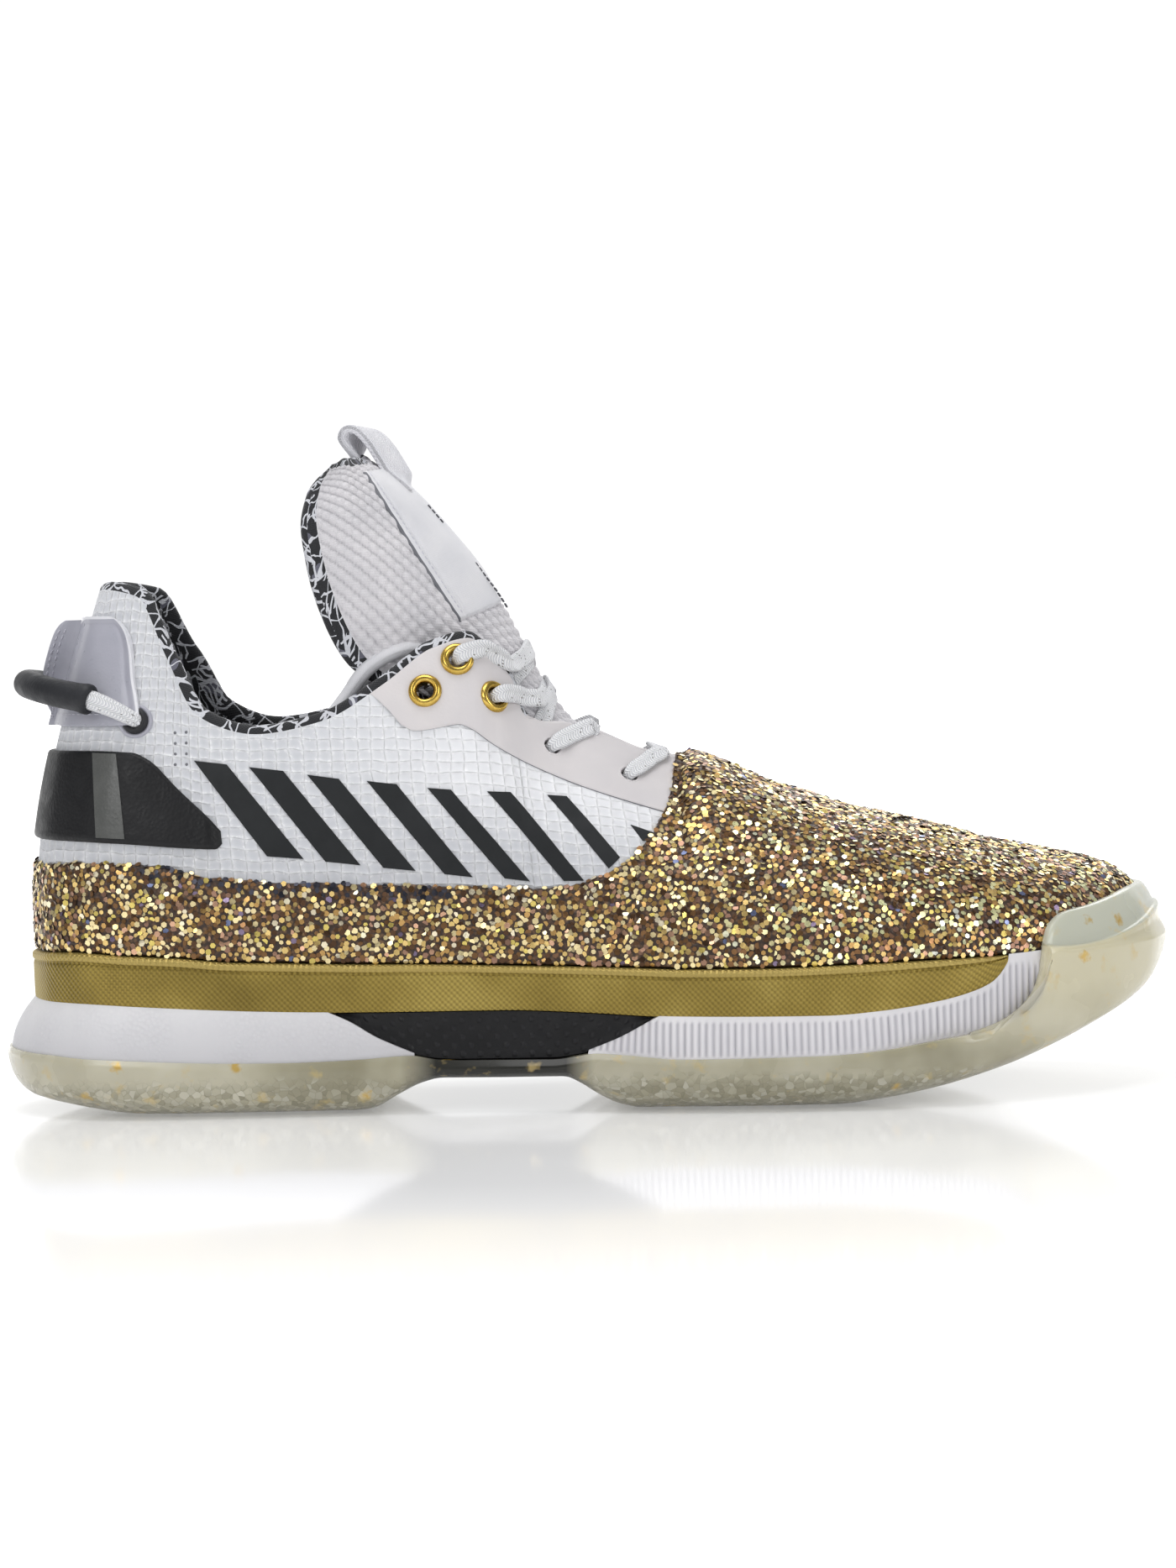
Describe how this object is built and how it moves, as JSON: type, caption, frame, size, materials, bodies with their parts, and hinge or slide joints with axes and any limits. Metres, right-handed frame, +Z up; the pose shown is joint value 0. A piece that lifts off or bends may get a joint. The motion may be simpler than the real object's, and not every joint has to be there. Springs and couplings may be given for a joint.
{
  "type": "basketball shoe",
  "caption": "Mid-cut basketball shoe for the right foot, with a woven white upper, proud glitter toe cap and mudguard, gold midsole band and a translucent rubber sole.",
  "frame": {"origin": "middle of the shoe's box, on the floor it stands on", "axes": "+X from heel to toe, +Y to the inner (big toe) side, +Z up"},
  "size_m": [0.305, 0.1104, 0.1758],
  "materials": {
    "rubber": "translucent greenish rubber with gold flecks",
    "foam": "white moulded foam, smooth at the heel, ribbed at the ball",
    "black_plastic": "satin black moulding",
    "gold_weave": "satin gold with a fine woven relief",
    "bed": "dark knit",
    "white_weave": "white ripstop weave, light grey eyestay",
    "glitter": "gold and rose glitter flakes on a brown ground",
    "silver_strap": "smooth silver-lilac coated strap",
    "black_rubber": "matte black tube",
    "white_cord": "woven white lace with metallic flecks",
    "brass": "polished brass"
  },
  "bodies": {
    "root": {"outsole": "rubber", "midsole_heel": "foam", "midsole_forefoot": "foam", "shank": "black_plastic", "midsole_band": "gold_weave", "insole": "bed", "upper": "white_weave", "rand": "glitter", "heel_counter": "black_plastic", "heel_tab": "silver_strap", "heel_cord": "white_cord", "heel_grip": "black_rubber", "tongue": "white_weave", "tongue_loop": "silver_strap", "lace_cross_top": "white_cord", "lace_cross_middle": "white_cord", "lace_cross_low": "white_cord", "lace_bar": "white_cord", "eyelet_top_outer": "brass", "eyelet_top_inner": "brass", "eyelet_second_outer": "brass", "eyelet_second_inner": "brass", "eyelet_third_outer": "brass", "eyelet_third_inner": "brass"}
  },
  "joints": []
}
